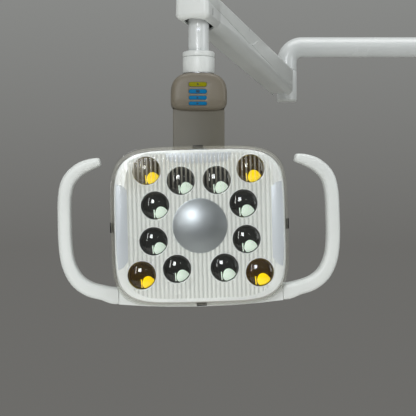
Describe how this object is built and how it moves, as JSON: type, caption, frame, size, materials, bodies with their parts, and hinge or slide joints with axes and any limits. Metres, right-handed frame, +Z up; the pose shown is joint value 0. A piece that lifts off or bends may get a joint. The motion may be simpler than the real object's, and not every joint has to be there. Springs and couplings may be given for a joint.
{
  "type": "dental operating light",
  "caption": "Dental operating light: rounded lamp head with lenses under a clear shield, side handles, yoke with control pad, lift arm, rigid arm and base post.",
  "frame": {"origin": "centre of the base flange's mounting face", "axes": "+Z up along the base post, the lamp faces -Y, +X to the right of someone facing the lamp's front"},
  "size_m": [0.9419, 0.7285, 0.4417],
  "materials": {
    "white_enamel": "satin",
    "white_plastic": "satin moulded",
    "grey_plastic": "satin moulded",
    "steel": "machined",
    "aluminium": "cast",
    "nylon": "natural",
    "black_plastic": "satin",
    "silver_plastic": "metallised",
    "badge_metal": "satin",
    "clear_plastic": "clear, polished",
    "lens_clear": "clear, polished",
    "lens_amber": "amber, polished",
    "phosphor": "matt",
    "board_white": "solder mask",
    "board_green": "solder mask",
    "silicone": "matt",
    "key_yellow": "printed",
    "key_blue": "printed"
  },
  "bodies": {
    "base": {"base_flange": "white_enamel", "base_post": "white_enamel", "base_bushes": "nylon", "thrust_washer": "steel", "brake_screw": "black_plastic"},
    "rigid_arm": {"rigid_tube": "white_enamel", "swing_spigot": "steel", "elbow_spigot": "steel", "spigot_clips": "steel"},
    "elbow": {"elbow_bracket": "white_enamel", "elbow_bushes": "nylon", "hub_cap": "white_plastic", "rear_link_pin": "steel"},
    "flexarm": {"arm_beam": "steel", "upper_cover": "white_plastic", "lower_cover": "white_plastic", "nose_cap": "white_plastic", "balance_spring": "steel", "spring_rod": "steel", "rear_pivot_pin": "steel", "front_pivot_pin": "steel", "cover_screws": "steel"},
    "link": {"parallel_link": "steel"},
    "knuckle": {"front_knuckle": "aluminium", "lamp_post": "white_enamel", "post_pin": "steel", "upper_collar": "white_plastic"},
    "yoke": {"lower_collar": "white_plastic", "swivel_bush": "nylon", "yoke_frame": "aluminium", "pad_front": "grey_plastic", "pad_rear": "grey_plastic", "key_board": "board_green", "key_mat": "silicone", "yoke_cover_front": "grey_plastic", "yoke_cover_rear": "grey_plastic", "tilt_pin": "steel", "tilt_caps": "white_plastic", "tilt_washers": "nylon"},
    "mode_key": {"key_mode": "key_yellow"},
    "high_key": {"key_high": "key_blue"},
    "medium_key": {"key_medium": "key_blue"},
    "low_key": {"key_low": "key_blue"},
    "tilt": {"tilt_knuckle": "aluminium", "roll_shaft": "steel"},
    "head": {"back_shell": "white_plastic", "head_frame": "aluminium", "heat_sink": "aluminium", "led_board": "board_white", "led_emitters": "phosphor", "lens_holders": "black_plastic", "clear_lenses": "lens_clear", "amber_lenses": "lens_amber", "bezel": "silver_plastic", "centre_badge": "badge_metal", "clear_shield": "clear_plastic", "shield_latches": "black_plastic", "handle_bracket": "white_plastic", "handle_left": "white_plastic", "handle_right": "white_plastic"}
  },
  "joints": [
    {"name": "arm_swing", "type": "hinge", "parent": "base", "child": "rigid_arm", "pos_m": [0, 0, 0.158], "axis": [0, 0, 1], "range_deg": [-135, 135]},
    {"name": "elbow_swivel", "type": "hinge", "parent": "rigid_arm", "child": "elbow", "pos_m": [-0.56, 0, 0.205], "axis": [0, 0, 1], "range_deg": [-100, 75]},
    {"name": "arm_lift", "type": "hinge", "parent": "elbow", "child": "flexarm", "pos_m": [-0.57656, -0.06182, 0.1815], "axis": [-0.9659, 0.2588, 0], "range_deg": [-30, 34]},
    {"name": "link_follow", "type": "hinge", "parent": "elbow", "child": "link", "pos_m": [-0.57656, -0.06182, 0.1935], "axis": [-0.9659, 0.2588, 0], "range_deg": [-30.5, 34.5]},
    {"name": "knuckle_level", "type": "hinge", "parent": "flexarm", "child": "knuckle", "pos_m": [-0.72095, -0.60067, 0.19416], "axis": [-0.9659, 0.2588, 0], "range_deg": [-34.5, 30.5]},
    {"name": "head_swivel", "type": "hinge", "parent": "knuckle", "child": "yoke", "pos_m": [-0.72095, -0.60067, 0.134], "axis": [0, 0, 1], "range_deg": [-100, 100]},
    {"name": "head_tilt", "type": "hinge", "parent": "yoke", "child": "tilt", "pos_m": [-0.72095, -0.60067, -0.075], "axis": [0.9994, 0.0349, 0], "range_deg": [-5, 90]},
    {"name": "head_roll", "type": "hinge", "parent": "tilt", "child": "head", "pos_m": [-0.71917, -0.65164, -0.075], "axis": [-0.0349, 0.9994, 0], "range_deg": [-35, 35]},
    {"name": "mode_key_press", "type": "slide", "parent": "yoke", "child": "mode_key", "axis": [-0.0349, 0.9994, 0], "range_m": [0, 0.0005], "stiffness_N_per_m": 900, "springref_m": -0.0006},
    {"name": "high_key_press", "type": "slide", "parent": "yoke", "child": "high_key", "axis": [-0.0349, 0.9994, 0], "range_m": [0, 0.0005], "stiffness_N_per_m": 900, "springref_m": -0.0006},
    {"name": "medium_key_press", "type": "slide", "parent": "yoke", "child": "medium_key", "axis": [-0.0349, 0.9994, 0], "range_m": [0, 0.0005], "stiffness_N_per_m": 900, "springref_m": -0.0006},
    {"name": "low_key_press", "type": "slide", "parent": "yoke", "child": "low_key", "axis": [-0.0349, 0.9994, 0], "range_m": [0, 0.0005], "stiffness_N_per_m": 900, "springref_m": -0.0006}
  ],
  "couplings": [
    {"joint": "link_follow", "follows": "arm_lift", "ratio": 1},
    {"joint": "knuckle_level", "follows": "arm_lift", "ratio": -1}
  ]
}
